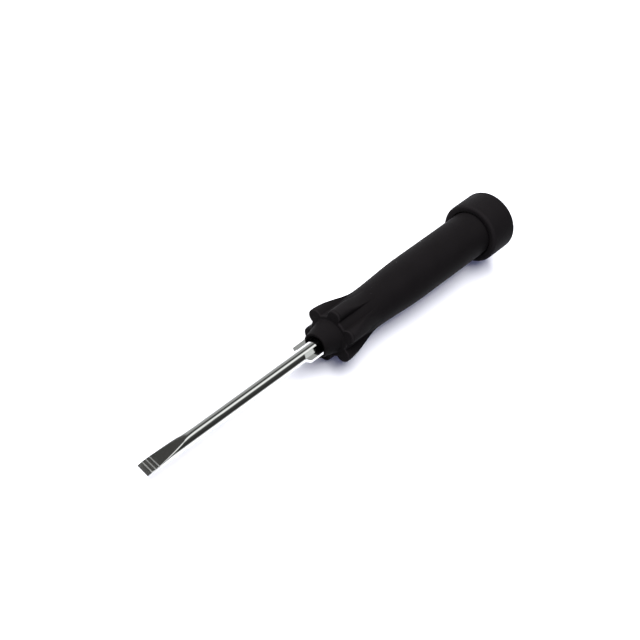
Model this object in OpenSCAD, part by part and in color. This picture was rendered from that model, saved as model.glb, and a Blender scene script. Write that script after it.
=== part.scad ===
// Watchmaker screwdriver with a free-turning cap, lying along +X.
// The origin is on the tool's axis at the blade's tip, and +Z is up.
// Every axial size is measured from the tip, along +X.

/* [Blade] */
// Diameter of the round shank
shank_d = 3; // [2.6:0.1:3.4]
// Distance from the tip to the plane of the lobes' rim on the handle's nose
shank_len = 55.8; // [50:0.1:70]
// Length of the tang behind that plane
tang_len = 25; // [18:1:30]
// Width of the slotted tip
tip_width = 2.8; // [2.2:0.05:2.85]
// Thickness of the slotted tip
tip_thick = 0.6; // [0.4:0.05:0.9]
// Length of the two hollow-ground flats
flat_len = 11.3; // [8:0.1:14]
// Slope of the flats at the tip, before they curve outwards
flat_slope = 0.065; // [0:0.005:0.08]
// Turn of the flats about the axis, from horizontal
flat_turn = -13; // [-40:1:30]
// Distance from the tip to the first cross groove
groove_first = 1.3; // [0.9:0.05:1.6]
// Distance between the cross grooves
groove_pitch = 0.97; // [0.7:0.01:1.2]
// Depth of the cross grooves
groove_depth = 0.07; // [0.04:0.01:0.1]
// Diameter of the tang at its inner end, to which the rod tapers from the ears on
tang_d = 2.9; // [2.8:0.01:2.98]
// Overall width across the two pressed ears
ear_span = 4.76; // [4:0.01:4.9]
// Turn of the ears about the axis, from horizontal
ear_turn = -31; // [-40:1:30]
// Thickness of the ears
ear_thick = 0.7; // [0.5:0.05:0.9]
// Length of the ears in front of the rim's plane
ear_show = 9.3; // [6:0.1:12]
// Length of the ears behind the rim's plane
ear_hidden = 3; // [2:0.1:8]

/* [Handle] */
// Length from the plane of the lobes' rim to the end of the neck
handle_len = 50.4; // [46:0.1:56]
// Length of the nose's cone in front of that plane
cone_len = 4.4; // [3:0.1:5]
// Radius of the cone's front end
cone_r = 2.65; // [2.6:0.05:3]
// Radius of the cone's base on the nose's face
cone_base_r = 3.5; // [3.2:0.05:4.2]
// Depth of the countersunk mouth in the cone's front end
mouth_depth = 0.9; // [0.4:0.1:1.4]
// Radius of that mouth at the front
mouth_r = 2.2; // [1.8:0.05:2.4]
// Radius over the lobes of the nose
nose_r = 6.25; // [5.6:0.01:6.3]
// Radius at the waist
waist_r = 4.32; // [4:0.01:4.5]
// Distance from the rim's plane to the waist
waist_at = 12.1; // [10:0.1:14]
// Radius at the belly
belly_r = 4.84; // [4.6:0.01:5]
// Distance from the rim's plane to the belly
belly_at = 27; // [22:0.5:32]
// Radius of the neck under the cap
neck_r = 4.8; // [4.6:0.01:4.9]
// Rounding of the nose's front edge
nose_round = 0.4; // [0.3:0.05:0.8]
// Radius of the round back of each lobe
lobe_r = 1.45; // [1.2:0.05:1.7]
// Radius of the valleys between the lobes
valley_r = 4.44; // [4.4:0.01:5]

/* [Swivel cap] */
// Radius of the cap
cap_r = 6.38; // [6.2:0.01:6.6]
// Length of the cap
cap_len = 7.7; // [7.1:0.1:8]
// How far the neck reaches into the cap
neck_cover = 1.8; // [1:0.1:2]
// Rounding of the cap's front edge
cap_front_round = 0.75; // [0.4:0.05:0.9]
// Rounding of the cap's rear edge
cap_rear_round = 1.05; // [0.6:0.05:1.2]
// Radial gap between the neck and the cap
neck_gap = 0.15; // [0.1:0.01:0.25]
// Radius of the end disc
disc_r = 4.2; // [4:0.1:4.4]
// Thickness of the end disc
disc_thick = 1; // [0.8:0.05:1.1]
// Depth of the fingertip's dish in the end disc
dish_depth = 0.3; // [0.1:0.05:0.4]

/* [Swivel bearing] */
// Radius of the swivel pin
pin_r = 1; // [0.8:0.05:1.2]
// Running clearance between the pin and the bush, on the radius
pin_gap = 0.04; // [0.02:0.01:0.08]
// Length of the pin pressed into the handle
pin_grip = 12; // [8:1:16]
// Radius of the bush's sleeve
sleeve_r = 1.8; // [1.6:0.05:2]
// Radius of the bush's flange
flange_r = 2.9; // [2.6:0.05:3.2]
// Thickness of the bush's flange
flange_thick = 0.5; // [0.4:0.05:0.6]
// Thickness of the cap's inner wall, which holds the bush
wall_thick = 1.5; // [1.3:0.05:1.6]
// Thickness of both washers
washer_thick = 0.3; // [0.2:0.05:0.35]
// Radius of the thrust ball, staked in the pin's head
ball_r = 0.8; // [0.6:0.05:0.85]
// Gap left between faces that slide on each other
face_gap = 0.03; // [0.02:0.01:0.05]

/* [Hidden] */

$fn = 96;
past = 1;
chrome = [0.78, 0.8, 0.82];
black = [0.1, 0.1, 0.1];
steel = [0.6, 0.62, 0.64];
brass = [0.78, 0.62, 0.32];

shank_r = shank_d / 2;
tang_end = shank_len + tang_len;
neck_end = shank_len + handle_len;
cap_start = neck_end - neck_cover;
cap_end = cap_start + cap_len;
groove_count = 3;
groove_width = 0.24;
ear_slope = 0.9;
wheel_r = flat_len * flat_len / (shank_d - tip_thick - 2 * flat_slope * flat_len);
ear_front = shank_len - ear_show;
ear_back = shank_len + ear_hidden;
nose_front = shank_len - cone_len;
cone_edge = 0.15;
struck_depth = 0.35;

lobe_count = 6;
profile_step = 1.5;
round_steps = 6;

washer_r = 2.7;
flange_start = neck_end + washer_thick + face_gap;
wall_start = flange_start + flange_thick;
wall_end = wall_start + wall_thick;
head_washer_start = wall_end + face_gap;
head_start = head_washer_start + washer_thick;
head_r = 1.9;
head_thick = 0.75;
disc_start = cap_end - disc_thick;
ball_at = disc_start - face_gap - ball_r;
ledge = 0.7;
dish_rim = 0.75;

// Puts a shape drawn about +Z on the tool's axis, with its base x from the tip.
module on_axis(x) {
    translate([x, 0, 0])
        rotate([90, 0, 90])
            children();
}

// A ring with a straight bore, standing on its base.
module ring(r_out, r_in, thick) {
    difference() {
        cylinder(r = r_out, h = thick);
        translate([0, 0, -past])
            cylinder(r = r_in, h = thick + 2 * past);
    }
}

// Blends smoothly from a to b as t goes from 0 to 1.
function eased(a, b, t) = a + (b - a) * t * t * (3 - 2 * t);

// Radius over the lobes, s behind the rim's plane.
function body_r(s) =
    s < waist_at ? eased(nose_r, waist_r, s / waist_at)
    : s < belly_at ? eased(waist_r, belly_r, (s - waist_at) / (belly_at - waist_at))
    : eased(belly_r, neck_r, (s - belly_at) / (handle_len - belly_at));

// Points of the rim's rounded front edge, from the cone outwards.
function nose_edge() = [
    for (i = [0 : round_steps])
        let (a = 90 * i / round_steps)
            [body_r(nose_round) - nose_round * (1 - sin(a)), nose_round * (1 - cos(a))]
];

// Points of the handle's side, behind the rounded edge.
function body_side() = [
    for (s = [profile_step : profile_step : handle_len - profile_step / 2])
        [body_r(s), s]
];

// Height of a flat above the axis, x from the tip: the foot of the grinding wheel's circle.
function flat_height(x) =
    tip_thick / 2 + flat_slope * x + x * x / (2 * wheel_r);

// The grinding wheel that hollows one flat out of the round shank.
module flat_cutter() {
    lowest_x = -flat_slope * wheel_r;
    translate([lowest_x, 0, flat_height(lowest_x) + wheel_r])
        rotate([90, 0, 0])
            cylinder(r = wheel_r, h = 4 * shank_r, center = true);
}

// The cross grooves of one flat.
module groove_cutters() {
    for (i = [0 : groove_count - 1])
        let (x = groove_first + i * groove_pitch)
            translate([x - groove_width / 2, -2 * shank_r, flat_height(x) - groove_depth])
                cube([groove_width, 4 * shank_r, shank_r]);
}

// The two ears, as one plate through the shank with sloped ends.
module ear_plate(thick, back) {
    half = ear_span / 2;
    translate([0, 0, -thick / 2])
        linear_extrude(thick)
            polygon([
                [ear_front, -shank_r + ear_slope / 4],
                [ear_front + ear_slope, -half],
                [back, -half],
                [back, half],
                [ear_front + ear_slope, half],
                [ear_front, shank_r - ear_slope / 4]
            ]);
}

// The pressed hollows on both sides of each ear.
module struck_hollows() {
    hollow_at = shank_r - struck_depth;
    for (side = [-1, 1], face = [-1, 1])
        scale([1, side, face])
            translate([ear_front + ear_slope / 2, hollow_at, ear_thick / 2])
                cube([ear_back - ear_front - ear_slope / 2, shank_r, shank_r]);
}

// The rod with its ears, before the flats are ground.
module eared_rod() {
    on_axis(0)
        cylinder(r = shank_r, h = ear_front);
    rotate([ear_turn, 0, 0]) {
        difference() {
            on_axis(ear_front)
                cylinder(d1 = shank_d, d2 = tang_d, h = tang_end - ear_front);
            struck_hollows();
        }
        ear_plate(ear_thick, ear_back);
    }
}

module blade() {
    color(chrome)
        difference() {
            eared_rod();
            for (face = [0, 180])
                rotate([flat_turn + face, 0, 0]) {
                    flat_cutter();
                    groove_cutters();
                    translate([-past, tip_width / 2, -2 * shank_r])
                        cube([flat_len / 2 + past, shank_r, 4 * shank_r]);
                }
        }
}

// Half section of the handle, with its cone in front of s = 0.
module handle_section() {
    polygon(concat(
        [[0, -cone_len], [cone_r - cone_edge, -cone_len], [cone_r, cone_edge - cone_len]],
        [[cone_base_r, 0]], nose_edge(), body_side(), [[neck_r, handle_len], [0, handle_len]]));
}

// Everything outside the lobes and the valleys between them.
module lobe_cutter() {
    difference() {
        circle(r = nose_r + past);
        circle(r = valley_r);
        for (i = [0 : lobe_count - 1])
            rotate(i * 360 / lobe_count)
                translate([nose_r - lobe_r, 0])
                    circle(r = lobe_r);
    }
}

module handle() {
    ear_slack = 0.04;
    mouth_slope = (mouth_r - shank_r) / mouth_depth;
    color(black)
        difference() {
            on_axis(shank_len)
                rotate_extrude()
                    handle_section();
            on_axis(nose_front)
                linear_extrude(cone_len + waist_at)
                    lobe_cutter();
            on_axis(nose_front - past)
                cylinder(r = shank_r, h = tang_end - nose_front + past);
            on_axis(nose_front - past)
                cylinder(r1 = mouth_r + past * mouth_slope, r2 = shank_r, h = mouth_depth + past);
            rotate([ear_turn, 0, 0])
                translate([nose_front - past, -ear_span / 2 - ear_slack, -ear_thick / 2 - ear_slack])
                    cube([ear_back - nose_front + past + ear_slack, ear_span + 2 * ear_slack,
                          ear_thick + 2 * ear_slack]);
            on_axis(neck_end - pin_grip)
                cylinder(r = pin_r, h = pin_grip + past);
        }
}

module swivel_pin() {
    color(steel)
        difference() {
            union() {
                on_axis(neck_end - pin_grip)
                    cylinder(r = pin_r, h = head_start - neck_end + pin_grip + head_thick / 2);
                on_axis(head_start)
                    cylinder(r = head_r, h = head_thick);
            }
            translate([ball_at, 0, 0])
                sphere(r = ball_r);
        }
}

module thrust_washer() {
    color(steel)
        on_axis(neck_end)
            ring(washer_r, pin_r + pin_gap, washer_thick);
}

module head_washer() {
    color(steel)
        on_axis(head_washer_start)
            ring(washer_r, pin_r + pin_gap, washer_thick);
}

// Half section of the cap's outer shape, rounded at both ends.
module cap_section() {
    for_front = [cap_r - cap_front_round, cap_front_round];
    for_rear = [cap_r - cap_rear_round, cap_len - cap_rear_round];
    square([for_front[0], cap_len]);
    translate([0, cap_front_round])
        square([cap_r, cap_len - cap_front_round - cap_rear_round]);
    intersection() {
        translate(for_front)
            circle(r = cap_front_round);
        translate([for_front[0] - past / 4, 0])
            square([cap_front_round + past, cap_front_round + past / 4]);
    }
    intersection() {
        translate(for_rear)
            circle(r = cap_rear_round);
        translate([for_rear[0], for_rear[1] - past / 4])
            square(cap_rear_round + past);
    }
}

module swivel_cap() {
    color(black)
        difference() {
            on_axis(cap_start)
                rotate_extrude()
                    cap_section();
            on_axis(cap_start - past)
                cylinder(r = neck_r + neck_gap, h = wall_start - cap_start + past);
            on_axis(cap_start)
                cylinder(r = sleeve_r, h = cap_len);
            on_axis(wall_end)
                cylinder(r = disc_r - ledge, h = cap_len);
            on_axis(disc_start)
                cylinder(r = disc_r, h = disc_thick + past);
        }
}

module cap_bush() {
    color(brass)
        on_axis(flange_start)
            difference() {
                union() {
                    cylinder(r = flange_r, h = flange_thick);
                    cylinder(r = sleeve_r, h = flange_thick + wall_thick);
                }
                translate([0, 0, -past])
                    cylinder(r = pin_r + pin_gap, h = cap_len);
            }
}

module end_disc() {
    dish_r = disc_r - dish_rim;
    ball_of_dish = (dish_r * dish_r + dish_depth * dish_depth) / (2 * dish_depth);
    color(black)
        difference() {
            on_axis(disc_start)
                cylinder(r = disc_r, h = disc_thick);
            translate([cap_end - dish_depth + ball_of_dish, 0, 0])
                sphere(r = ball_of_dish);
        }
}

module thrust_ball() {
    color(steel)
        translate([ball_at, 0, 0])
            sphere(r = ball_r);
}

blade();
handle();
swivel_pin();
thrust_washer();
head_washer();
swivel_cap();
cap_bush();
end_disc();
thrust_ball();
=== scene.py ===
"""Watchmaker screwdriver: smooth surfaces, finishes and studio around the packed CAD frame."""

import bpy
import numpy as np
from bpy.props import FloatProperty, FloatVectorProperty, PointerProperty
from mathutils import Matrix, Vector


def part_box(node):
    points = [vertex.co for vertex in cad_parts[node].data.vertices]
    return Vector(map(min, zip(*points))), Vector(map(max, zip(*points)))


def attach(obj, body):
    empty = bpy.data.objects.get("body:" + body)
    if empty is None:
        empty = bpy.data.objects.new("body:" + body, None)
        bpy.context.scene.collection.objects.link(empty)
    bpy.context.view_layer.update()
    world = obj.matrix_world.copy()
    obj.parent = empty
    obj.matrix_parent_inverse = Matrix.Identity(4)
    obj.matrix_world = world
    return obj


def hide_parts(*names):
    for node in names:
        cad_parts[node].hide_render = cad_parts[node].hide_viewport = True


bl_info = {
    "name": "Watchmaker Screwdriver",
    "version": (1, 0, 0),
    "blender": (4, 5, 0),
    "location": "View3D > Sidebar > Screwdriver",
    "description": "Builds a watchmaker screwdriver with a free-turning cap around its frame",
    "category": "Object",
}

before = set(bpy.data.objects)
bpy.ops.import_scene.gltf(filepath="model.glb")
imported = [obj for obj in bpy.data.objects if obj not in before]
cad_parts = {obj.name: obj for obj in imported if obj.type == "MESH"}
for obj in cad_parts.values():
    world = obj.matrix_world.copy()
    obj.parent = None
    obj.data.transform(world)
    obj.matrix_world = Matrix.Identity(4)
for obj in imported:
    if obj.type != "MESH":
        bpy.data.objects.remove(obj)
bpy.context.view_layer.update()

MM = 0.001
BLADE_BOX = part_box("blade")
HANDLE_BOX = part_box("handle")
CAP_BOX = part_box("swivel_cap")
DISC_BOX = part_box("end_disc")
PIN_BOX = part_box("swivel_pin")
WASHER_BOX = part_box("thrust_washer")
BUSH_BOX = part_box("cap_bush")

# The frame gives every place along the axis but the cone's foot, the plane of the lobes' face.
CONE_LENGTH = 4.4 * MM
CONE_X = HANDLE_BOX[0][0]
NOSE_X = CONE_X + CONE_LENGTH
NECK_END_X = HANDLE_BOX[1][0]
CAP_START_X = CAP_BOX[0][0]
CAP_END_X = CAP_BOX[1][0]
LOBES = 6
GROOVES = 3
TURN = 2 * np.pi
# A side this many rod radii out is clear of the rod and cuts nothing off it.
CLEAR_OF_ROD = 1.02


# ---------------------------------------------------------------- sizes and colours


class BladeSizes(bpy.types.PropertyGroup):
    """Sizes of the chromed blade."""

    rod_radius: FloatProperty(
        name="Rod radius", description="Radius of the round rod", default=1.5 * MM, unit="LENGTH"
    )
    tip_width: FloatProperty(
        name="Tip width", description="Width of the slotted tip", default=2.8 * MM, unit="LENGTH"
    )
    tip_thickness: FloatProperty(
        name="Tip thickness", description="Thickness of the slotted tip", default=0.6 * MM, unit="LENGTH"
    )
    flat_length: FloatProperty(
        name="Flat length", description="Length of the ground flats", default=11.3 * MM, unit="LENGTH"
    )
    flat_slope: FloatProperty(
        name="Flat slope", description="Slope of the flats at the tip, as rise over run", default=0.065
    )
    tip_turn: FloatProperty(
        name="Tip turn", description="Turn of the tip from horizontal", default=-0.227, unit="ROTATION"
    )
    ear_turn: FloatProperty(
        name="Ear turn", description="Turn of the ears from horizontal", default=-0.541, unit="ROTATION"
    )
    twist_length: FloatProperty(
        name="Twist length", description="Length over which the tip is twisted", default=13.5 * MM,
        unit="LENGTH",
    )
    crease: FloatProperty(
        name="Crease", description="Softness of the flats' edges at their end", default=0.34 * MM,
        unit="LENGTH",
    )
    groove_first: FloatProperty(
        name="First groove", description="From the tip to the first cross groove", default=1.3 * MM,
        unit="LENGTH",
    )
    groove_pitch: FloatProperty(
        name="Groove pitch", description="Distance between cross grooves", default=0.97 * MM, unit="LENGTH"
    )
    groove_depth: FloatProperty(
        name="Groove depth", description="Depth of the cross grooves", default=0.07 * MM, unit="LENGTH"
    )
    ear_span: FloatProperty(
        name="Ear span", description="Width across the two pressed ears", default=4.75 * MM, unit="LENGTH"
    )
    ear_thickness: FloatProperty(
        name="Ear thickness", description="Thickness of the ears", default=0.7 * MM, unit="LENGTH"
    )
    ear_length: FloatProperty(
        name="Ear length", description="Length of the ears in front of the lobes", default=9.3 * MM,
        unit="LENGTH",
    )
    ridge_width: FloatProperty(
        name="Ridge width", description="Width left round between the ears", default=1.7 * MM, unit="LENGTH"
    )


class HandleSizes(bpy.types.PropertyGroup):
    """Sizes of the black moulded handle."""

    nose_radius: FloatProperty(
        name="Nose radius", description="Radius over the lobes", default=6.25 * MM, unit="LENGTH"
    )
    waist_radius: FloatProperty(
        name="Waist radius", description="Smallest radius behind the nose", default=4.32 * MM, unit="LENGTH"
    )
    waist_at: FloatProperty(
        name="Waist position", description="From the nose's face to the waist", default=12.1 * MM,
        unit="LENGTH",
    )
    belly_radius: FloatProperty(
        name="Belly radius", description="Largest radius of the grip", default=4.84 * MM, unit="LENGTH"
    )
    belly_at: FloatProperty(
        name="Belly position", description="From the nose's face to the belly", default=27 * MM,
        unit="LENGTH",
    )
    neck_radius: FloatProperty(
        name="Neck radius", description="Radius under the cap", default=4.8 * MM, unit="LENGTH"
    )
    nose_round: FloatProperty(
        name="Nose rounding", description="Rounding of the nose's front edge", default=0.4 * MM,
        unit="LENGTH",
    )
    cone_radius: FloatProperty(
        name="Cone radius", description="Radius of the cone's front end", default=2.65 * MM, unit="LENGTH"
    )
    mouth_depth: FloatProperty(
        name="Mouth depth", description="Depth of the countersunk mouth", default=0.9 * MM, unit="LENGTH"
    )
    mouth_radius: FloatProperty(
        name="Mouth radius", description="Radius of the mouth at the front", default=2.2 * MM, unit="LENGTH"
    )
    cone_base: FloatProperty(
        name="Cone base", description="Radius of the cone on the lobes' face", default=3.5 * MM,
        unit="LENGTH",
    )
    lobe_radius: FloatProperty(
        name="Lobe radius", description="Radius of each lobe's round back", default=1.45 * MM, unit="LENGTH"
    )
    valley_radius: FloatProperty(
        name="Valley radius", description="From the axis to the valleys", default=4.44 * MM, unit="LENGTH"
    )
    lobe_blend: FloatProperty(
        name="Lobe blend", description="Softness of the lobes' edges", default=0.28 * MM, unit="LENGTH"
    )


class CapSizes(bpy.types.PropertyGroup):
    """Sizes of the swivel cap and its end disc."""

    front_round: FloatProperty(
        name="Front rounding", description="Rounding of the front edge", default=0.75 * MM, unit="LENGTH"
    )
    rear_round: FloatProperty(
        name="Rear rounding", description="Rounding of the rear edge", default=1.05 * MM, unit="LENGTH"
    )
    neck_gap: FloatProperty(
        name="Neck gap", description="Gap between the neck and the cap", default=0.15 * MM, unit="LENGTH"
    )
    dish_depth: FloatProperty(
        name="Dish depth", description="Depth of the fingertip's dish", default=0.3 * MM, unit="LENGTH"
    )
    edge_break: FloatProperty(
        name="Edge break", description="Small rounding of inner edges", default=0.12 * MM, unit="LENGTH"
    )


class FinishColours(bpy.types.PropertyGroup):
    """Base colours of the finishes."""

    plastic: FloatVectorProperty(
        name="Plastic", description="Black moulding", default=(0.0054, 0.0048, 0.0050), subtype="COLOR"
    )
    chrome: FloatVectorProperty(
        name="Chrome", description="Chrome plate", default=(0.70, 0.71, 0.71), subtype="COLOR"
    )
    steel: FloatVectorProperty(
        name="Steel", description="Turned steel", default=(0.56, 0.57, 0.58), subtype="COLOR"
    )
    brass: FloatVectorProperty(
        name="Brass", description="Turned brass", default=(0.75, 0.58, 0.28), subtype="COLOR"
    )
    floor: FloatVectorProperty(
        name="Floor", description="Pale bench top", default=(0.88, 0.88, 0.88), subtype="COLOR"
    )


class StudioSettings(bpy.types.PropertyGroup):
    """Camera and light of the studio."""

    view_from_axis: FloatProperty(
        name="View from axis", description="Angle between the view and the tool's axis", default=0.8325,
        unit="ROTATION",
    )
    axis_slope: FloatProperty(
        name="Axis slope", description="Slope of the tool's axis in the frame", default=0.6214,
        unit="ROTATION",
    )
    distance: FloatProperty(
        name="Distance", description="From the camera to the nose", default=485 * MM, unit="LENGTH"
    )
    lens: FloatProperty(
        name="Lens", description="Focal length in millimetres", default=140.6, unit="CAMERA"
    )
    key_energy: FloatProperty(name="Key light", description="Irradiance of the key light", default=7.5)
    key_angle: FloatProperty(
        name="Key softness", description="Angular size of the key light", default=1.15, unit="ROTATION"
    )


GROUPS = {
    "screwdriver_blade": BladeSizes,
    "screwdriver_handle": HandleSizes,
    "screwdriver_cap": CapSizes,
    "screwdriver_finish": FinishColours,
    "screwdriver_studio": StudioSettings,
}


# ---------------------------------------------------------------- surfaces


def eased(a, b, t):
    """a plus (b - a) times the smooth step 3t^2 - 2t^3, with t held between 0 and 1."""
    t = np.clip(t, 0.0, 1.0)
    return a + (b - a) * t * t * (3 - 2 * t)


def smooth_min(a, b, width):
    """The smaller of a and b, with the corner between them rounded over the given width."""
    h = np.clip(0.5 + 0.5 * (b - a) / width, 0.0, 1.0)
    return b + (a - b) * h - width * h * (1 - h)


def tube_mesh(name, points, masks, start_pole=True, end_pole=True, ring=False):
    """A closed surface from a grid of points, rows along the profile and columns around the axis.

    Neighbouring rows are joined by quads. A pole closes the first or last row with a fan to its
    centre, and ring joins the last row back to the first. masks holds one value from 0 to 1 for
    each point under the name of each attribute.
    """
    rows, columns = points.shape[:2]
    index = np.arange(rows * columns).reshape(rows, columns)
    lower = index if ring else index[:-1]
    upper = np.roll(index, -1, axis=0) if ring else index[1:]
    quads = np.stack([lower, np.roll(lower, -1, axis=1), np.roll(upper, -1, axis=1), upper], axis=-1)
    faces = quads.reshape(-1, 4).tolist()
    vertices = points.reshape(-1, 3)
    poles = 0
    for wanted, row, forward in ((start_pole, index[0], False), (end_pole, index[-1], True)):
        if wanted and not ring:
            pole = len(vertices)
            vertices = np.vstack([vertices, points[row[0] // columns].mean(axis=0)])
            poles += 1
            along = np.roll(row, -1)
            a, b = (row, along) if forward else (along, row)
            faces += np.stack([a, b, np.full(columns, pole)], axis=-1).tolist()
    mesh = bpy.data.meshes.new(name)
    mesh.from_pydata(vertices.tolist(), [], faces)
    for mask_name, mask in masks.items():
        layer = mesh.attributes.new(mask_name, "FLOAT", "POINT")
        values = np.append(mask.reshape(-1), np.zeros(poles))
        layer.data.foreach_set("value", values.astype(np.float32))
    mesh.update()
    return mesh


def around_axis(x, radius, angle):
    """Points (x, radius cos angle, radius sin angle), so the axis is X and angle 0 points along +Y."""
    x, radius, angle = np.broadcast_arrays(x, radius, angle)
    return np.stack([x, radius * np.cos(angle), radius * np.sin(angle)], axis=-1)


def corner_path(stations, radius, steps=6):
    """A profile of straight lines through the (x, r) stations, with each corner rounded.

    radius holds one rounding for each station. A corner is cut back by its rounding along both
    lines and filled with the quadratic curve that has the corner as its middle control point.
    """
    p = np.array(stations, dtype=float)
    back = np.roll(p, 1, axis=0) - p
    ahead = np.roll(p, -1, axis=0) - p
    cut = np.array(radius, dtype=float)[:, None]
    start = p + back / np.linalg.norm(back, axis=1, keepdims=True) * cut
    end = p + ahead / np.linalg.norm(ahead, axis=1, keepdims=True) * cut
    t = np.linspace(0, 1, steps)[None, :, None]
    curve = (1 - t) ** 2 * start[:, None] + 2 * t * (1 - t) * p[:, None] + t**2 * end[:, None]
    return curve.reshape(-1, 2)


def finish_piece(mesh, body, node, material, sharp_angle):
    """Puts the mesh into the scene as the piece that stands for a CAD node and rides on its body."""
    mesh.materials.append(material)
    mesh.shade_smooth()
    mesh.set_sharp_from_angle(angle=sharp_angle)
    piece = bpy.data.objects.new(mesh.name, mesh)
    bpy.context.scene.collection.objects.link(piece)
    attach(piece, body)
    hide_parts(node)
    return piece


# ---------------------------------------------------------------- finishes


def new_group(name, inputs, outputs):
    """An empty shader node group with float inputs {name: default} and the named outputs."""
    tree = bpy.data.node_groups.new(name, "ShaderNodeTree")
    for label, value in inputs.items():
        socket = tree.interface.new_socket(label, in_out="INPUT", socket_type="NodeSocketFloat")
        socket.default_value = value
    for label, kind in outputs.items():
        tree.interface.new_socket(label, in_out="OUTPUT", socket_type=kind)
    return tree, tree.nodes.new("NodeGroupInput"), tree.nodes.new("NodeGroupOutput")


def add_node(tree, kind, values=None, links=None, **settings):
    """Adds a node, sets its attributes and input defaults, and links its inputs."""
    made = tree.nodes.new(kind)
    for key, value in settings.items():
        setattr(made, key, value)
    for key, value in (values or {}).items():
        made.inputs[key].default_value = value
    for key, source in (links or {}).items():
        tree.links.new(source, made.inputs[key])
    return made


def millimetre_coordinates(tree):
    """Object coordinates in millimetres."""
    place = add_node(tree, "ShaderNodeTexCoord")
    return add_node(
        tree, "ShaderNodeMapping", {"Scale": (1 / MM,) * 3}, {"Vector": place.outputs["Object"]}
    ).outputs["Vector"]


def connect(tree, socket, source):
    """Links an output to the socket, or sets the socket to a plain number or colour."""
    if isinstance(source, bpy.types.NodeSocket):
        tree.links.new(source, socket)
    else:
        socket.default_value = source


def maths(tree, operation, *terms):
    """The result of a Math node whose terms are outputs or numbers."""
    made = add_node(tree, "ShaderNodeMath", operation=operation)
    for socket, term in zip(made.inputs, terms):
        connect(tree, socket, term)
    return made.outputs["Value"]


def mixed(tree, kind, share, first, second):
    """The FLOAT or RGBA that passes from first to second as share goes from 0 to 1."""
    made = add_node(tree, "ShaderNodeMix", data_type=kind)
    sockets = [socket for socket in made.inputs if socket.enabled]
    for socket, source in zip(sockets, (share, first, second)):
        connect(tree, socket, source)
    return next(socket for socket in made.outputs if socket.enabled)


def shaded(colour, strength):
    """The colour made darker or brighter, with full alpha."""
    return (*[strength * part for part in colour], 1)


def grain_group():
    """Fine moulded grain: a height from 0 to 1 that mixes a fine and a coarse noise."""
    tree, given, made = new_group(
        "moulded_grain", {"Grains per mm": 9.0, "Coarseness": 0.35}, {"Height": "NodeSocketFloat"}
    )
    place = millimetre_coordinates(tree)
    fine = add_node(
        tree, "ShaderNodeTexNoise", {"Detail": 3.0, "Roughness": 0.6},
        {"Vector": place, "Scale": given.outputs["Grains per mm"]},
    )
    coarse = add_node(tree, "ShaderNodeTexNoise", {"Scale": 1.1, "Detail": 2.0}, {"Vector": place})
    height = mixed(tree, "FLOAT", given.outputs["Coarseness"], fine.outputs["Fac"], coarse.outputs["Fac"])
    tree.links.new(height, made.inputs["Height"])
    return tree


def dust_group():
    """Sparse dust: a mask of 1 inside small specks around the points of a jittered lattice."""
    tree, given, made = new_group(
        "settled_dust", {"Specks per mm": 0.9, "Speck size": 0.035}, {"Mask": "NodeSocketFloat"}
    )
    place = millimetre_coordinates(tree)
    cells = add_node(
        tree, "ShaderNodeTexVoronoi", None,
        {"Vector": place, "Scale": given.outputs["Specks per mm"]},
    )
    chance = add_node(tree, "ShaderNodeSeparateColor", None, {"Color": cells.outputs["Color"]})
    empty_share = 0.45
    size = maths(tree, "MULTIPLY", given.outputs["Speck size"], chance.outputs["Red"])
    near = maths(tree, "LESS_THAN", cells.outputs["Distance"], size)
    few = maths(tree, "GREATER_THAN", chance.outputs["Green"], empty_share)
    tree.links.new(maths(tree, "MULTIPLY", near, few), made.inputs["Mask"])
    return tree


def scratch_group():
    """Fine drawn or turned lines: noise stretched along one direction of the piece."""
    tree, given, made = new_group(
        "drawn_lines", {"Lines per mm": 14.0, "Along X": 0.04, "Across": 1.0}, {"Height": "NodeSocketFloat"}
    )
    place = add_node(tree, "ShaderNodeTexCoord")
    part = add_node(tree, "ShaderNodeSeparateXYZ", None, {"Vector": place.outputs["Object"]})
    stretch = {"X": "Along X", "Y": "Across", "Z": "Across"}
    joined = add_node(tree, "ShaderNodeCombineXYZ", None, {
        axis: maths(tree, "MULTIPLY", part.outputs[axis], given.outputs[label])
        for axis, label in stretch.items()
    })
    scaled = add_node(
        tree, "ShaderNodeVectorMath", {1: (1 / MM,) * 3}, {0: joined.outputs[0]}, operation="MULTIPLY"
    )
    lines = add_node(
        tree, "ShaderNodeTexNoise", {"Detail": 4.0, "Roughness": 0.7},
        {"Vector": scaled.outputs[0], "Scale": given.outputs["Lines per mm"]},
    )
    tree.links.new(lines.outputs["Fac"], made.inputs["Height"])
    return tree


def use_group(tree, name, maker, **values):
    """A group node with its own values. The named group itself is made once."""
    node = tree.nodes.new("ShaderNodeGroup")
    node.node_tree = bpy.data.node_groups.get(name) or maker()
    for key, value in values.items():
        node.inputs[key.replace("_", " ")].default_value = value
    return node


def remap(tree, source, low, high):
    """A value between 0 and 1 spread between low and high."""
    return add_node(
        tree, "ShaderNodeMapRange", {"To Min": low, "To Max": high}, {"Value": source}
    ).outputs["Result"]


def start_material(name, colour):
    """A material with a Principled BSDF, which is returned with the tree."""
    made = bpy.data.materials.new(name)
    made.use_nodes = True
    made.diffuse_color = (*colour, 1)
    return made, made.node_tree, made.node_tree.nodes["Principled BSDF"]


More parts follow.
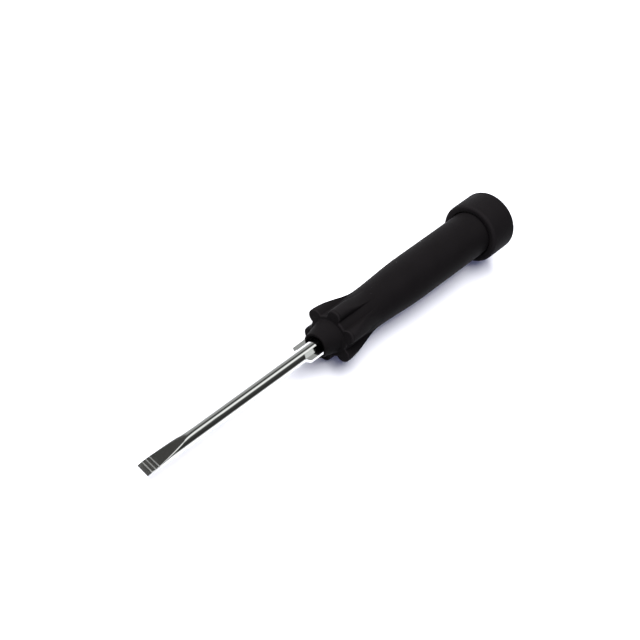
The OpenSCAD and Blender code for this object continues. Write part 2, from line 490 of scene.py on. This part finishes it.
def plastic_material(name, grains_per_mm):
    """Satin black moulding: fine grain, uneven gloss, edges rubbed smoother and a little dust."""
    colour = tuple(bpy.context.scene.screwdriver_finish.plastic)
    made, tree, shader = start_material(name, colour)
    shader.inputs["Specular IOR Level"].default_value = 0.012
    grain = use_group(tree, "moulded_grain", grain_group, Grains_per_mm=grains_per_mm)
    dust = use_group(tree, "settled_dust", dust_group)
    wear = add_node(tree, "ShaderNodeAttribute", attribute_name="edge_wear")
    place = millimetre_coordinates(tree)
    cloud = add_node(
        tree, "ShaderNodeTexNoise", {"Scale": 0.22, "Detail": 5.0, "Roughness": 0.6}, {"Vector": place}
    )
    dark, bright, rubbed_bright, rubbed_gloss = 0.8, 1.25, 2.2, -0.1
    dust_colour = (0.16, 0.155, 0.15, 1)
    tone = mixed(tree, "RGBA", cloud.outputs["Fac"], shaded(colour, dark), shaded(colour, bright))
    rubbed = mixed(tree, "RGBA", wear.outputs["Fac"], tone, shaded(colour, rubbed_bright))
    dusty = mixed(tree, "RGBA", dust.outputs["Mask"], rubbed, dust_colour)
    tree.links.new(dusty, shader.inputs["Base Color"])
    uneven = remap(tree, cloud.outputs["Fac"], 0.48, 0.64)
    smoother = maths(tree, "MULTIPLY_ADD", wear.outputs["Fac"], rubbed_gloss, uneven)
    tree.links.new(smoother, shader.inputs["Roughness"])
    bump = add_node(
        tree, "ShaderNodeBump", {"Strength": 0.35, "Distance": 0.012 * MM},
        {"Height": grain.outputs["Height"]},
    )
    tree.links.new(bump.outputs["Normal"], shader.inputs["Normal"])
    return made


def chrome_material():
    """Bright chrome plate: drawn lines along the rod, cross-ground flats and small tarnish clouds."""
    colour = tuple(bpy.context.scene.screwdriver_finish.chrome)
    made, tree, shader = start_material("chromed_steel", colour)
    shader.inputs["Metallic"].default_value = 1.0
    drawn = use_group(tree, "drawn_lines", scratch_group, Lines_per_mm=10.0, Along_X=0.03, Across=1.0)
    ground = use_group(tree, "drawn_lines", scratch_group, Lines_per_mm=16.0, Along_X=1.0, Across=0.05)
    flat = add_node(tree, "ShaderNodeAttribute", attribute_name="ground_flat")
    groove = add_node(tree, "ShaderNodeAttribute", attribute_name="groove")
    lines = mixed(tree, "FLOAT", flat.outputs["Fac"], drawn.outputs["Height"], ground.outputs["Height"])
    place = millimetre_coordinates(tree)
    cloud = add_node(
        tree, "ShaderNodeTexNoise", {"Scale": 0.5, "Detail": 6.0, "Roughness": 0.65}, {"Vector": place}
    )
    tarnish, flats_rougher, grooves_rougher = 0.9, 0.05, 0.55
    tone = mixed(tree, "RGBA", cloud.outputs["Fac"], shaded(colour, tarnish), shaded(colour, 1))
    tree.links.new(tone, shader.inputs["Base Color"])
    plain = remap(tree, cloud.outputs["Fac"], 0.05, 0.13)
    ground_rough = maths(tree, "MULTIPLY_ADD", flat.outputs["Fac"], flats_rougher, plain)
    rough = maths(tree, "MULTIPLY_ADD", groove.outputs["Fac"], grooves_rougher, ground_rough)
    tree.links.new(rough, shader.inputs["Roughness"])
    bump = add_node(
        tree, "ShaderNodeBump", {"Strength": 0.25, "Distance": 0.002 * MM}, {"Height": lines}
    )
    tree.links.new(bump.outputs["Normal"], shader.inputs["Normal"])
    return made


def turned_material(name, colour, roughness):
    """Turned metal of the swivel: rings around the axis from noise stretched across it."""
    made, tree, shader = start_material(name, colour)
    shader.inputs["Metallic"].default_value = 1.0
    lines = use_group(tree, "drawn_lines", scratch_group, Lines_per_mm=12.0, Along_X=1.0, Across=0.08)
    height = lines.outputs["Height"]
    furrow_dark, furrow_rough = 0.82, 0.12
    tone = mixed(tree, "RGBA", height, shaded(colour, furrow_dark), shaded(colour, 1))
    tree.links.new(tone, shader.inputs["Base Color"])
    uneven = remap(tree, height, roughness, roughness + furrow_rough)
    tree.links.new(uneven, shader.inputs["Roughness"])
    bump = add_node(
        tree, "ShaderNodeBump", {"Strength": 0.3, "Distance": 0.003 * MM}, {"Height": height}
    )
    tree.links.new(bump.outputs["Normal"], shader.inputs["Normal"])
    return made


# ---------------------------------------------------------------- blade


def groove_centres(sizes):
    """Distances of the cross grooves from the tip."""
    return sizes.groove_first + np.arange(GROOVES) * sizes.groove_pitch


def groove_drop(x, sizes):
    """Depth of the cross grooves at x: a bell-shaped dip around each groove's centre."""
    centres = groove_centres(sizes)
    width = 0.085 * MM
    return sizes.groove_depth * np.exp(-(((x[:, None] - centres) / width) ** 2)).sum(axis=1)


def blade_section(x, sizes):
    """Half thickness, half width and turn of the section at x.

    Half thickness is the tip's plus the slope times x plus a share squared, sized so that it
    reaches the rod's radius where the flats end. The tip's sides open out to the round rod over
    half of that length. The turn grows evenly from the tip's to the ears' over the twisted length.
    """
    share = np.clip(x / sizes.flat_length, 0, None)
    rise = sizes.flat_slope * sizes.flat_length
    hollow = sizes.rod_radius - sizes.tip_thickness / 2 - rise
    thick = sizes.tip_thickness / 2 + rise * share + hollow * share**2
    side = eased(sizes.tip_width / 2, sizes.rod_radius * CLEAR_OF_ROD, share * 2)
    twist = np.clip(x / sizes.twist_length, 0, 1)
    turn = sizes.tip_turn + (sizes.ear_turn - sizes.tip_turn) * twist
    return thick - groove_drop(x, sizes), side, turn


def blade_rows(sizes, ear_front, tang_end):
    """Positions of the section rows along the blade, closer where its shape changes."""
    tip_break, beside_groove, between = 0.05 * MM, 0.2 * MM, 0.1 * MM
    centres = groove_centres(sizes)
    grooves = centres[:, None] + np.linspace(-beside_groove, beside_groove, 11)
    flats_start, flats_end = grooves[-1, -1] + 0.06 * MM, sizes.flat_length * 1.05
    rod_start = sizes.flat_length * 1.1
    ears_start, ears_end = ear_front - 0.2 * MM, ear_front + 1.4 * MM
    return np.unique(
        np.concatenate([
            np.linspace(tip_break, grooves[0, 0] - 0.05 * MM, 9),
            grooves.ravel(),
            np.linspace(flats_start, flats_end, 70),
            np.linspace(rod_start, ears_start - between, 24),
            np.linspace(ears_start, ears_end, 34),
            np.linspace(ears_end + between, tang_end, 20),
        ])
    )


def column_angles(breaks, counts):
    """Angles around one section, evenly spread between the breaks of a quadrant and mirrored.

    breaks has one row of rising angles from 0 to a quarter turn for each section.
    """
    pieces = [
        breaks[:, i, None] + (breaks[:, i + 1] - breaks[:, i])[:, None] * np.arange(n) / n
        for i, n in enumerate(counts)
    ]
    quarter = np.concatenate(pieces, axis=1)
    end = np.full((len(breaks), 1), np.pi / 2)
    half = np.concatenate([quarter, end, np.pi - quarter[:, :0:-1]], axis=1)
    return np.concatenate([half, half + np.pi], axis=1)


def blade_columns(x, thick, side, sizes):
    """Angles of the columns around each section, close together where its outline turns a corner.

    In front that is the edge between flat and rod, and from the ears on it is the corners of the
    ears' plate and of the ridge. Over the shank they pass smoothly from the first to the second.
    """
    rod, plate, half_ridge = sizes.rod_radius, sizes.ear_thickness / 2, sizes.ridge_width / 2
    steepest, crowded = 0.985, 0.2
    passing_start, passing_length = 14 * MM, 25 * MM
    corner = np.arcsin(np.minimum(thick / rod, steepest))
    corner = np.maximum(corner, np.arctan2(thick, side))
    near = np.maximum(corner - crowded, corner * 0.4)
    far = np.minimum(corner + crowded, corner * 0.5 + np.pi / 4)
    zero, quarter = np.zeros_like(corner), np.full_like(corner, np.pi / 2)
    front = np.stack([zero, near, far, (far + quarter) / 2, quarter], axis=1)
    ears = np.array([
        0, np.arctan2(plate, sizes.ear_span / 2), np.arctan2(plate, half_ridge),
        np.arccos(half_ridge / rod), np.pi / 2,
    ])
    passing = eased(0, 1, (x - passing_start) / passing_length)[:, None]
    return column_angles(front * (1 - passing) + ears * passing, (6, 12, 10, 10))


def blade_surface(sizes):
    """The whole blade as one radius over (x, angle), where angle 0 is the direction of the width.

    In front the radius is the smallest of the rod, the flats' distance over the sine and the
    sides' distance over the cosine. From the ears on it is the larger of a round ridge, cut off
    at half the ridge's width, and the ears' plate, half its thickness over the sine and half its
    span over the cosine.
    """
    ear_front = NOSE_X - sizes.ear_length
    x = blade_rows(sizes, ear_front, BLADE_BOX[1][0])
    thick, side, turn = blade_section(x, sizes)
    local = blade_columns(x, thick, side, sizes)
    rod, plate = sizes.rod_radius, sizes.ear_thickness / 2
    ear_root, uncut = rod * 0.9, rod * CLEAR_OF_ROD
    ear_slope, press_slope = 0.9 * MM, 0.16 * MM
    rise = eased(0, 1, (x - ear_front) / ear_slope)
    pressed = eased(0, 1, (x - ear_front) / press_slope)
    span = ear_root + (sizes.ear_span / 2 - ear_root) * rise
    ridge_half = uncut + (sizes.ridge_width / 2 - uncut) * pressed

    axis_guard = 1e-6
    sine = np.maximum(np.abs(np.sin(local)), axis_guard)
    cosine = np.maximum(np.abs(np.cos(local)), axis_guard)
    sharp, full_crease_at = 0.05 * MM, 0.7 * sizes.flat_length
    softness = eased(sharp, sizes.crease, x / full_crease_at)[:, None]
    flat_reach = thick[:, None] / sine
    blade = smooth_min(np.minimum(rod, side[:, None] / cosine), flat_reach, softness)
    ridge = np.minimum(rod, ridge_half[:, None] / cosine)
    ears = np.minimum(plate / sine, span[:, None] / cosine)
    on_ears = (x > ear_front - 0.1 * MM)[:, None]
    radius = np.where(on_ears, np.maximum(ridge, ears), blade)
    flats = (flat_reach < rod * 0.999) & (x < sizes.flat_length)[:, None]

    tip_rows = [around_axis(0.0, radius[:1] * part, local[:1] + turn[0]) for part in (0.5, 0.97)]
    points = np.concatenate([*tip_rows, around_axis(x[:, None], radius, local + turn[:, None])])
    ground = np.concatenate([flats[:1], flats[:1], flats]).astype(float)
    groove = groove_drop(x, sizes)[:, None] / sizes.groove_depth * flats
    groove = np.concatenate([np.zeros((len(tip_rows), groove.shape[1])), groove])
    return points, {"ground_flat": ground, "groove": groove}


class SCREWDRIVER_OT_blade(bpy.types.Operator):
    """Builds the chromed blade with its slotted tip, cross grooves and pressed ears"""

    bl_idname = "screwdriver.blade"
    bl_label = "Build blade"

    def execute(self, context):
        sizes = context.scene.screwdriver_blade
        points, masks = blade_surface(sizes)
        mesh = tube_mesh("blade_chromed", points, masks)
        finish_piece(mesh, "handle", "blade", chrome_material(), np.radians(28))
        return {"FINISHED"}


# ---------------------------------------------------------------- handle


def grip_radius(s, sizes):
    """Radius over the lobes, s behind the nose's face: eased from nose to waist to belly to neck."""
    length = NECK_END_X - NOSE_X
    front = eased(sizes.nose_radius, sizes.waist_radius, s / sizes.waist_at)
    middle = eased(
        sizes.waist_radius, sizes.belly_radius, (s - sizes.waist_at) / (sizes.belly_at - sizes.waist_at)
    )
    rear = eased(sizes.belly_radius, sizes.neck_radius, (s - sizes.belly_at) / (length - sizes.belly_at))
    return np.where(s < sizes.waist_at, front, np.where(s < sizes.belly_at, middle, rear))


def lobe_reach(angle, sizes):
    """Radius of the nose's section: six round-backed lobes that rise out of round valleys.

    A lobe is a circle that touches the nose's radius, seen from the axis at the angle from its
    middle: c cos a plus the root of r^2 - c^2 sin^2 a. Beyond its flanks the reach drops steeply.
    """
    step = TURN / LOBES
    off = np.abs((angle + step / 2) % step - step / 2)
    centre = sizes.nose_radius - sizes.lobe_radius
    inside = sizes.lobe_radius**2 - (centre * np.sin(off)) ** 2
    lobe = centre * np.cos(off) + np.sqrt(np.maximum(inside, 0))
    lobe -= 6 * np.maximum(centre * np.sin(off) - sizes.lobe_radius, 0)
    return -smooth_min(-lobe, -sizes.valley_radius, sizes.lobe_blend)


def nose_reach(s, angle, sizes):
    """Radius of the grip at s, held inside the lobes' outline as far as the waist."""
    limit = lobe_reach(angle, sizes) * np.ones_like(s)
    limit = np.where(s < sizes.waist_at, limit, 1)
    return smooth_min(grip_radius(s, sizes), limit, sizes.lobe_blend)


def collar_profile(sizes):
    """Points (x, r) from the tang's bore through the mouth and over the cone to the lobes' face.

    Behind the mouth the moulding closes in on the blade and fills the pressed hollows of its ears.
    """
    bore, bore_end = 1.53 * MM, BLADE_BOX[1][0]
    shut = 0.7 * MM
    edge, foot = 0.15 * MM, 0.3 * MM
    mouth_x = CONE_X + sizes.mouth_depth
    break_in, break_out = 0.03 * MM, 0.02 * MM
    turn = np.linspace(0, np.pi / 2, 7)
    lip = np.stack([
        CONE_X + edge * (1 - np.cos(turn)),
        sizes.cone_radius - edge * (1 - np.sin(turn)),
    ], axis=1)
    share = np.linspace(0, 1, 10)[1:]
    cone = np.stack([
        CONE_X + edge + (NOSE_X - foot - CONE_X - edge) * share,
        sizes.cone_radius + (sizes.cone_base - sizes.cone_radius) * share,
    ], axis=1)
    foot_curve = np.stack([
        NOSE_X - foot * (1 - np.sin(turn)),
        sizes.cone_base + foot * (1 - np.cos(turn)),
    ], axis=1)
    start = [
        [bore_end, bore * 0.5], [bore_end, bore], [NOSE_X, bore], [NOSE_X, shut],
        [mouth_x, shut], [mouth_x, bore],
        [CONE_X + break_in, sizes.mouth_radius - break_in], [CONE_X, sizes.mouth_radius + break_out],
    ]
    return np.concatenate([start, lip, cone, foot_curve[1:]])


def handle_surface(sizes):
    """The handle as rows along X and columns around it.

    The collar, neck end and bores are turned about the axis. In between each column has its own
    radius R(s), the nose's reach: the lobes' face runs flat out to R - e, a quarter circle of
    radius e turns the front edge, and the side follows R(s) to the neck.
    """
    columns = 48 * LOBES
    angle = np.arange(columns)[None, :] / columns * TURN
    length, edge = NECK_END_X - NOSE_X, sizes.nose_round
    collar = collar_profile(sizes)
    turn = np.linspace(0, np.pi / 2, 9)[:, None]
    lobes_end = 14 * MM
    s = np.concatenate([np.linspace(edge, lobes_end, 48)[1:], np.linspace(lobes_end, length, 60)[1:-1]])
    first = nose_reach(np.full((1, 1), edge), angle, sizes)
    share = np.linspace(0, 1, 9)[1:-1, None]
    face_start = collar[-1, 1]
    face = around_axis(NOSE_X, face_start + (first - edge - face_start) * share, angle)
    rim = around_axis(NOSE_X + edge * (1 - np.cos(turn)), first - edge * (1 - np.sin(turn)), angle)
    side_reach = nose_reach(s[:, None], angle, sizes)
    side = around_axis(NOSE_X + s[:, None], side_reach, angle)
    small, pin, pin_end = 0.08 * MM, 1.0 * MM, PIN_BOX[0][0]
    end = np.array([
        [NECK_END_X, sizes.neck_radius - small], [NECK_END_X, pin], [pin_end, pin], [pin_end, pin * 0.5],
    ])
    front = around_axis(collar[:, :1], collar[:, 1:], angle)
    back = around_axis(end[:, :1], end[:, 1:], angle)
    points = np.concatenate([front, face, rim, side, back])
    crest_height, rubbed_length = 1.6 * MM, 9 * MM
    crest = np.clip((side_reach - sizes.valley_radius) / crest_height, 0, 1) ** 2
    crest = crest * np.clip(1 - s[:, None] / rubbed_length, 0, 1)
    wear = np.zeros(points.shape[:2])
    rim_start = len(front) + len(face)
    side_start = rim_start + len(rim)
    wear[rim_start:side_start] = 0.6 * np.sin(2 * turn)
    wear[side_start:side_start + len(side)] = 0.5 * crest
    return points, wear


class SCREWDRIVER_OT_handle(bpy.types.Operator):
    """Builds the black moulded handle with its six-lobed nose"""

    bl_idname = "screwdriver.handle"
    bl_label = "Build handle"

    def execute(self, context):
        points, wear = handle_surface(context.scene.screwdriver_handle)
        mesh = tube_mesh("handle_moulded", points, {"edge_wear": wear})
        material = plastic_material("black_moulding", 7.0)
        finish_piece(mesh, "handle", "handle", material, np.radians(40))
        return {"FINISHED"}


# ---------------------------------------------------------------- cap


def revolved(name, path, wear, columns=160, ring=False):
    """A profile of (x, r) points turned about the X axis into a closed surface."""
    angle = np.arange(columns)[None, :] / columns * TURN
    points = around_axis(path[:, :1], path[:, 1:], angle)
    masks = wear[:, None] * np.ones((1, columns))
    return tube_mesh(name, points, {"edge_wear": masks}, start_pole=not ring, end_pole=not ring, ring=ring)


def cap_profile(sizes):
    """Closed profile of the cap: outside, rear rim, disc seat, rear well, bush hole and front well."""
    outer = CAP_BOX[1][1]
    seat_x, seat_r = DISC_BOX[0][0], DISC_BOX[1][1]
    neck = bpy.context.scene.screwdriver_handle.neck_radius + sizes.neck_gap
    flange_room, ledge, bush_r = 0.53 * MM, 0.7 * MM, 1.8 * MM
    wall_start, wall_end = WASHER_BOX[1][0] + flange_room, BUSH_BOX[1][0]
    well_r = seat_r - ledge
    small, crisp = sizes.edge_break, 0.02 * MM
    stations = [
        (CAP_START_X, outer, sizes.front_round),
        (CAP_END_X, outer, sizes.rear_round),
        (CAP_END_X, seat_r, small),
        (seat_x, seat_r, crisp),
        (seat_x, well_r, crisp),
        (wall_end, well_r, small),
        (wall_end, bush_r, crisp),
        (wall_start, bush_r, crisp),
        (wall_start, neck, small),
        (CAP_START_X, neck, small * 1.5),
    ]
    return corner_path([s[:2] for s in stations], [s[2] for s in stations], steps=9)


def disc_profile(sizes):
    """Half section of the end disc, from the middle of its dished rear round to its front."""
    fit, rim_width, edge = 0.02 * MM, 0.75 * MM, 0.12 * MM
    radius = DISC_BOX[1][1] - fit
    dish_r = radius - rim_width
    r = np.linspace(0.05 * MM, dish_r, 16)
    dish = CAP_END_X - sizes.dish_depth * (1 - (r / dish_r) ** 2)
    rim = np.array([
        [CAP_END_X, radius - edge],
        [CAP_END_X - edge / 3, radius - edge / 3],
        [CAP_END_X - edge, radius],
        [DISC_BOX[0][0], radius],
        [DISC_BOX[0][0], radius * 0.5],
    ])
    return np.concatenate([np.stack([dish, r], axis=1), rim])[::-1]


class SCREWDRIVER_OT_cap(bpy.types.Operator):
    """Builds the free-turning cap and the dished disc that closes it"""

    bl_idname = "screwdriver.cap"
    bl_label = "Build cap"

    def execute(self, context):
        sizes = context.scene.screwdriver_cap
        material = plastic_material("cap_moulding", 8.0)
        path = cap_profile(sizes)
        rubbed_band = 1.2 * MM
        outside = path[:, 1] > CAP_BOX[1][1] - rubbed_band
        bend = np.abs(np.gradient(np.arctan2(*np.gradient(path, axis=0).T[::-1])))
        wear = np.where(outside, np.clip(bend * 2, 0, 0.5), 0)
        cap = revolved("cap_moulded", path, wear, ring=True)
        finish_piece(cap, "cap", "swivel_cap", material, np.radians(35))
        path = disc_profile(sizes)
        disc = revolved("end_disc_dished", path, np.zeros(len(path)))
        finish_piece(disc, "cap", "end_disc", material, np.radians(35))
        return {"FINISHED"}


# ---------------------------------------------------------------- swivel


class SCREWDRIVER_OT_swivel(bpy.types.Operator):
    """Gives the pin, washers, bush and ball inside the cap their turned metal finishes"""

    bl_idname = "screwdriver.swivel"
    bl_label = "Finish swivel"

    def execute(self, context):
        colours = context.scene.screwdriver_finish
        steel = turned_material("bare_steel", tuple(colours.steel), 0.25)
        brass = turned_material("bush_brass", tuple(colours.brass), 0.28)
        ball = turned_material("ball_steel", tuple(colours.steel), 0.08)
        finishes = {
            "swivel_pin": steel,
            "thrust_washer": steel,
            "head_washer": steel,
            "cap_bush": brass,
            "thrust_ball": ball,
        }
        for node, material in finishes.items():
            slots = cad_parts[node].data.materials
            slots.clear()
            slots.append(material)
        return {"FINISHED"}


# ---------------------------------------------------------------- studio


def view_basis(settings):
    """Unit vectors right, up and ahead of the camera.

    The camera looks along the tool from its tip, down at the given angle from the axis, and is
    rolled so that the axis rises to the right with the given slope.
    """
    angle, slope = settings.view_from_axis, settings.axis_slope
    axis, above, beside = Vector((1, 0, 0)), Vector((0, 0, 1)), Vector((0, -1, 0))
    ahead = axis * np.cos(angle) - above * np.sin(angle)
    along = axis * np.sin(angle) + above * np.cos(angle)
    right = along * np.cos(slope) + beside * np.sin(slope)
    up = along * np.sin(slope) - beside * np.cos(slope)
    return right, up, ahead


def make_camera(settings):
    """The camera, with the nose's middle a little right of and below the frame's centre."""
    right, up, ahead = view_basis(settings)
    nose = Vector((NOSE_X, 0, 0))
    nose_right, nose_low = 1.66, 3.13
    offset = right * nose_right * MM - up * nose_low * MM
    data = bpy.data.cameras.new("studio_camera")
    data.lens = settings.lens
    data.sensor_width = 36
    data.clip_start, data.clip_end = 0.01, 20
    camera = bpy.data.objects.new("studio_camera", data)
    turn = Matrix((right, up, -ahead)).transposed().to_4x4()
    camera.matrix_world = Matrix.Translation(nose - ahead * settings.distance - offset) @ turn
    bpy.context.scene.collection.objects.link(camera)
    bpy.context.scene.camera = camera


def make_floor(colours):
    """A wide bench top that touches the cap's front edge and the two lowest lobes of the nose."""
    reach = 4.0
    handle = bpy.context.scene.screwdriver_handle
    cap_front = CAP_START_X + bpy.context.scene.screwdriver_cap.front_round
    lobe_drop = (handle.nose_radius - handle.lobe_radius) * np.sin(TURN / LOBES) + handle.lobe_radius
    cap_low = Vector((cap_front, 0, CAP_BOX[0][2]))
    nose_low = Vector((NOSE_X + handle.nose_round, 0, -lobe_drop))
    slope = (nose_low - cap_low).normalized()
    side = Vector((0, 1, 0))
    middle = (cap_low + nose_low) / 2
    signs = ((1, 1), (1, -1), (-1, -1), (-1, 1))
    corners = [middle + slope * reach * a + side * reach * b for a, b in signs]
    mesh = bpy.data.meshes.new("bench_top")
    mesh.from_pydata(corners, [], [(0, 1, 2, 3)])
    if mesh.polygons[0].normal.z < 0:
        mesh.flip_normals()
    made, tree, shader = start_material("bench_paper", tuple(colours.floor))
    shader.inputs["Base Color"].default_value = (*colours.floor, 1)
    shader.inputs["Roughness"].default_value = 0.9
    shader.inputs["Specular IOR Level"].default_value = 0.0
    mesh.materials.append(made)
    floor = bpy.data.objects.new("bench_top", mesh)
    bpy.context.scene.collection.objects.link(floor)


def make_light(name, kind, towards, **settings):
    """A light that stands off from the nose in the direction towards, and shines back along it."""
    stand_off = 0.5
    data = bpy.data.lights.new(name, kind)
    for key, value in settings.items():
        setattr(data, key, value)
    light = bpy.data.objects.new(name, data)
    direction = Vector(towards).normalized()
    turn = direction.to_track_quat("Z", "Y").to_matrix().to_4x4()
    light.matrix_world = Matrix.Translation(Vector((NOSE_X, 0, 0)) + direction * stand_off) @ turn
    bpy.context.scene.collection.objects.link(light)
    return light


# Brightness of the room at shares of the half turn from the far side's horizon to the near side's.
ROOM_TONES = (
    (0.0, 0.66), (0.08, 0.52), (0.17, 0.42), (0.22, 0.26), (0.26, 0.10), (0.31, 0.05), (0.345, 0.10),
    (0.375, 0.75), (0.41, 1.35), (0.50, 1.25), (0.525, 0.50), (0.56, 0.09), (0.65, 0.05), (0.86, 0.03),
    (0.90, 0.12), (0.95, 0.7), (1.0, 1.2),
)
ROOM_CARD = (0.068, 0.067, 0.063)
# Where the card gives way to the room: ahead of it, behind it, and up towards the window.
CARD_AHEAD, CARD_BEHIND, CARD_TOP = (0.52, 0.575), (0.33, 0.25), (0.385, 0.41)


def make_world():
    """A room around the bench, seen in the polished steel only.

    Its brightness follows the angle about the tool's axis from the far side's horizon up and over
    to the near side's, with one bright window high up. A dark grey card, from the far horizon up to
    the window, shows in the ground flats. Matt surfaces see a dim blue light instead, and the camera
    sees plain white.
    """
    world = bpy.data.worlds.new("studio_room")
    bpy.context.scene.world = world
    world.use_nodes = True
    tree = world.node_tree
    tree.nodes.clear()
    place = add_node(tree, "ShaderNodeTexCoord")
    part = add_node(tree, "ShaderNodeSeparateXYZ", None, {"Vector": place.outputs["Generated"]})
    angle = maths(tree, "ARCTAN2", part.outputs["Z"], part.outputs["Y"])
    share = add_node(tree, "ShaderNodeMapRange", {"From Max": np.pi}, {"Value": angle}).outputs["Result"]
    ramp = add_node(tree, "ShaderNodeValToRGB", None, {"Fac": share})
    stops = ramp.color_ramp.elements
    while len(stops) < len(ROOM_TONES):
        stops.new(0.5)
    for stop, (at, tone) in zip(stops, ROOM_TONES):
        stop.position = at
        stop.color = (tone * 0.99, tone, tone * 0.97, 1)
    off_card = 0.0
    edges = ((part.outputs["X"], CARD_AHEAD), (part.outputs["X"], CARD_BEHIND), (share, CARD_TOP))
    for source, (start, end) in edges:
        past = add_node(tree, "ShaderNodeMapRange", {"From Min": start, "From Max": end}, {"Value": source})
        off_card = maths(tree, "MAXIMUM", off_card, past.outputs["Result"])
    tones = mixed(tree, "RGBA", off_card, (*ROOM_CARD, 1), ramp.outputs["Color"])
    room = add_node(tree, "ShaderNodeBackground", None, {"Color": tones})
    shade = add_node(tree, "ShaderNodeBackground", {"Color": (0.15, 0.16, 0.30, 1), "Strength": 1.0})
    plain = add_node(tree, "ShaderNodeBackground", {"Color": (1, 1, 1, 1), "Strength": 1.0})
    ray = add_node(tree, "ShaderNodeLightPath")
    matt = add_node(
        tree, "ShaderNodeMixShader", None,
        {0: ray.outputs["Is Diffuse Ray"], 1: room.outputs[0], 2: shade.outputs[0]},
    )
    seen = add_node(
        tree, "ShaderNodeMixShader", None,
        {0: ray.outputs["Is Camera Ray"], 1: matt.outputs[0], 2: plain.outputs[0]},
    )
    out = add_node(tree, "ShaderNodeOutputWorld")
    tree.links.new(seen.outputs[0], out.inputs["Surface"])


class SCREWDRIVER_OT_stage(bpy.types.Operator):
    """Sets the bench top, the soft light, the room and the camera"""

    bl_idname = "screwdriver.stage"
    bl_label = "Set stage"

    def execute(self, context):
        scene = context.scene
        settings = scene.screwdriver_studio
        scene.view_settings.view_transform = "Standard"
        make_camera(settings)
        make_floor(scene.screwdriver_finish)
        key = make_light(
            "key_light", "SUN", (-0.22, 0.46, 0.86), energy=settings.key_energy, angle=settings.key_angle
        )
        key.visible_glossy = False
        make_world()
        return {"FINISHED"}


# ---------------------------------------------------------------- panel and run


OPERATORS = (
    SCREWDRIVER_OT_stage,
    SCREWDRIVER_OT_blade,
    SCREWDRIVER_OT_handle,
    SCREWDRIVER_OT_cap,
    SCREWDRIVER_OT_swivel,
)


class SCREWDRIVER_PT_build(bpy.types.Panel):
    """Lists the sizes and the steps that build the screwdriver"""

    bl_idname = "SCREWDRIVER_PT_build"
    bl_label = "Watchmaker Screwdriver"
    bl_space_type = "VIEW_3D"
    bl_region_type = "UI"
    bl_category = "Screwdriver"

    def draw(self, context):
        for name, group in GROUPS.items():
            box = self.layout.box()
            box.label(text=group.__doc__)
            for key in group.__annotations__:
                box.prop(getattr(context.scene, name), key)
        for operator in OPERATORS:
            self.layout.operator(operator.bl_idname)


CLASSES = (*GROUPS.values(), *OPERATORS, SCREWDRIVER_PT_build)


def register():
    """Registers the classes and puts the settings on the scene."""
    for cls in CLASSES:
        bpy.utils.register_class(cls)
    for name, group in GROUPS.items():
        setattr(bpy.types.Scene, name, PointerProperty(type=group))


def unregister():
    """Takes the settings and the classes away again."""
    for name in GROUPS:
        delattr(bpy.types.Scene, name)
    for cls in reversed(CLASSES):
        bpy.utils.unregister_class(cls)


def main():
    """Registers the classes and builds everything in order."""
    register()
    for operator in OPERATORS:
        area, name = operator.bl_idname.split(".")
        getattr(getattr(bpy.ops, area), name)()


if __name__ == "__main__":
    main()
